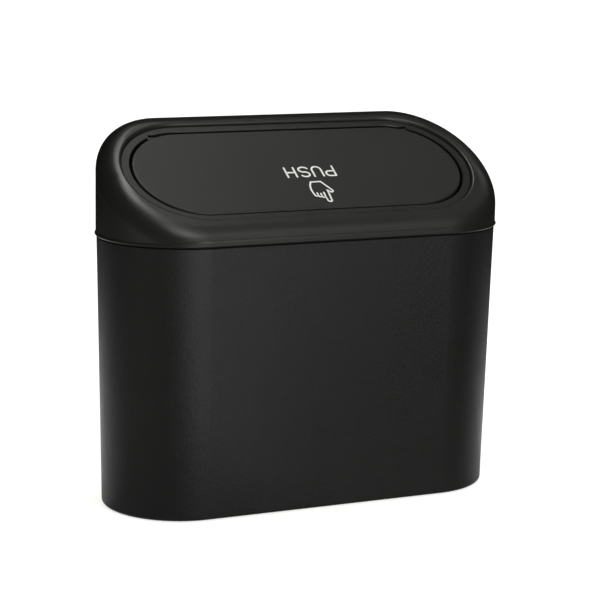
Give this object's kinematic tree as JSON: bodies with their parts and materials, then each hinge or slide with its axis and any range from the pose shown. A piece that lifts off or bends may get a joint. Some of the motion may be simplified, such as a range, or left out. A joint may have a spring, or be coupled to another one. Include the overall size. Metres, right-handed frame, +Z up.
{
  "type": "car trash bin",
  "caption": "Tapered stadium-shaped car waste bin with a sloping lift-off cover, a flush push-to-open lid and a rear hanger clip.",
  "frame": {"origin": "centre of the flat base, on the surface the bin stands on", "axes": "+Z up, X along the long side, -Y towards the low front edge of the sloping top"},
  "size_m": [0.2018, 0.0965, 0.1782],
  "materials": {
    "bin_plastic": "fine moulded grain",
    "ring_plastic": "smooth",
    "cover_plastic": "satin",
    "lid_plastic": "satin",
    "latch_plastic": "smooth",
    "slider_plastic": "smooth",
    "rubber": "matt",
    "screw_steel": "zinc plated",
    "pin_steel": "ground",
    "spring_steel": "drawn wire"
  },
  "bodies": {
    "bin": {"bin_body": "bin_plastic", "bag_ring": "ring_plastic", "hanger_clip": "bin_plastic", "clip_pad": "rubber"},
    "cover": {"top_cover": "cover_plastic", "lid_frame": "cover_plastic", "frame_screws": "screw_steel", "hinge_pin_left": "pin_steel", "hinge_pin_right": "pin_steel", "lid_spring_left": "spring_steel", "lid_spring_right": "spring_steel", "latch_housing": "latch_plastic", "latch_spring": "spring_steel", "latch_follower": "pin_steel", "latch_screws": "screw_steel", "lid_buffers": "rubber"},
    "lid": {"lid_panel": "lid_plastic", "lid_striker": "latch_plastic", "striker_screws": "screw_steel"},
    "latch": {"latch_slider": "slider_plastic"}
  },
  "joints": [
    {"name": "cover_lift", "type": "slide", "parent": "bin", "child": "cover", "axis": [0, 0, 1], "range_m": [0, 0.05]},
    {"name": "lid_hinge", "type": "hinge", "parent": "cover", "child": "lid", "pos_m": [0, 0.02488, 0.1695], "axis": [-1, 0, 0], "range_deg": [0, 82]},
    {"name": "latch_press", "type": "slide", "parent": "cover", "child": "latch", "axis": [0, -0.5225, 0.8526], "range_m": [-0.0018, 0], "stiffness_N_per_m": 300}
  ]
}
